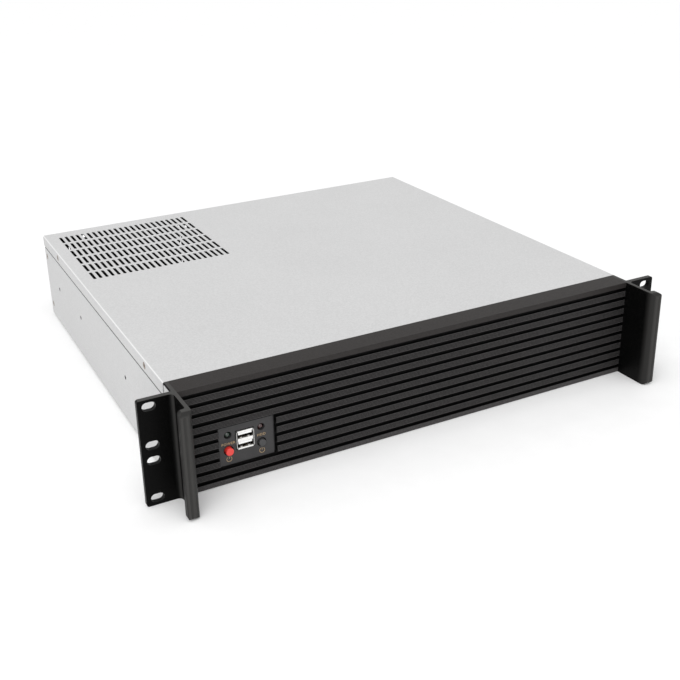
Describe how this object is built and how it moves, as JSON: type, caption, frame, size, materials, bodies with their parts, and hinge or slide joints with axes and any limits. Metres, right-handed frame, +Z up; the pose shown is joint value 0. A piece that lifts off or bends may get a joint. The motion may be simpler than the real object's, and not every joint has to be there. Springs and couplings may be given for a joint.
{
  "type": "rackmount server case",
  "caption": "Empty two-unit rack server case: folded steel tray and cover, ribbed black front, rack ears with pull handles, small control plate.",
  "frame": {"origin": "middle of the rack plane, where the ears' backs meet the rack's rails", "axes": "+X to the case's right end as seen from its front, +Y to the rear, +Z up"},
  "size_m": [0.4826, 0.4539, 0.0882],
  "materials": {
    "painted_steel": "satin powder coat",
    "zinc_steel": "zinc plated",
    "black_aluminium": "satin black paint",
    "control_plate": "satin",
    "black_plastic": "satin",
    "red_plastic": "satin",
    "white_plastic": "satin",
    "circuit_board": "solder mask",
    "socket_steel": "nickel plated",
    "green_lens": "tinted, unlit",
    "red_lens": "tinted, unlit",
    "brass": "turned",
    "nickel_screws": "nickel plated",
    "black_screws": "black zinc"
  },
  "bodies": {
    "case": {"base_tray": "painted_steel", "top_cover": "painted_steel", "front_wall": "painted_steel", "rear_panel": "painted_steel", "cross_bar": "painted_steel", "drive_cage": "zinc_steel", "psu_bracket": "zinc_steel", "slot_cover_1": "zinc_steel", "slot_cover_2": "zinc_steel", "slot_cover_3": "zinc_steel", "slot_cover_4": "zinc_steel", "bezel": "black_aluminium", "left_handle": "black_aluminium", "right_handle": "black_aluminium", "io_plate": "control_plate", "io_board": "circuit_board", "usb_shell": "socket_steel", "usb_tongues": "white_plastic", "power_light": "green_lens", "drive_light": "red_lens", "power_switch": "black_plastic", "reset_switch": "black_plastic", "io_header": "black_plastic", "board_standoffs": "brass", "cover_screws": "nickel_screws", "rear_panel_screws": "nickel_screws", "handle_screws": "black_screws", "bezel_screws": "nickel_screws", "floor_screws": "nickel_screws", "bar_screws": "nickel_screws", "slot_screws": "nickel_screws", "io_screws": "nickel_screws"},
    "power_button": {"power_button": "red_plastic"},
    "reset_button": {"reset_button": "black_plastic"}
  },
  "joints": [
    {"name": "power_press", "type": "slide", "parent": "case", "child": "power_button", "axis": [0, 1, 0], "range_m": [0, 0.001], "stiffness_N_per_m": 400, "springref_m": -0.0005},
    {"name": "reset_press", "type": "slide", "parent": "case", "child": "reset_button", "axis": [0, 1, 0], "range_m": [0, 0.001], "stiffness_N_per_m": 400, "springref_m": -0.0005}
  ]
}
